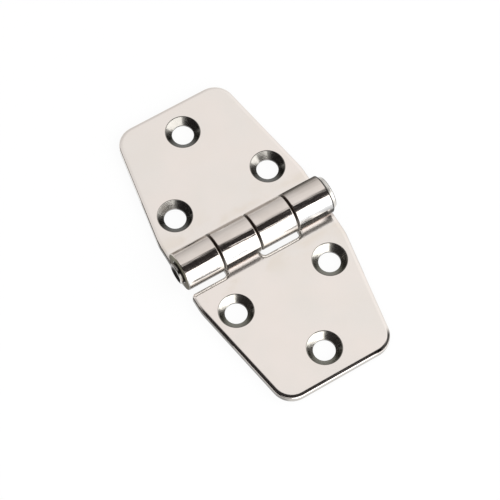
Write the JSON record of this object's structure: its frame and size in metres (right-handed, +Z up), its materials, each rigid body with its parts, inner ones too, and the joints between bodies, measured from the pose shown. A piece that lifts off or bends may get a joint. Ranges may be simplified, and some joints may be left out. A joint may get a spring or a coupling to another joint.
{
  "type": "back flap hinge",
  "caption": "Back flap hinge: tapered polished sheet steel leaves with countersunk screw holes and rolled knuckles that turn on a headed pin.",
  "frame": {"origin": "below the middle of the pin, in the plane of the leaves' back faces, with the hinge open flat", "axes": "+X along the pin towards its head, +Y towards the tip of the rear leaf, +Z up out of the front faces"},
  "size_m": [0.0401, 0.0764, 0.0092],
  "materials": {
    "leaf_steel": "mirror polished stainless steel sheet",
    "pin_steel": "polished stainless steel, turned"
  },
  "bodies": {
    "rear_half": {"rear_leaf": "leaf_steel", "hinge_pin": "pin_steel"},
    "front_half": {"front_leaf": "leaf_steel"}
  },
  "joints": [
    {"name": "leaf_fold", "type": "hinge", "parent": "rear_half", "child": "front_half", "pos_m": [0, 0, 0.0046], "axis": [-1, 0, 0], "range_deg": [-90, 180]}
  ]
}
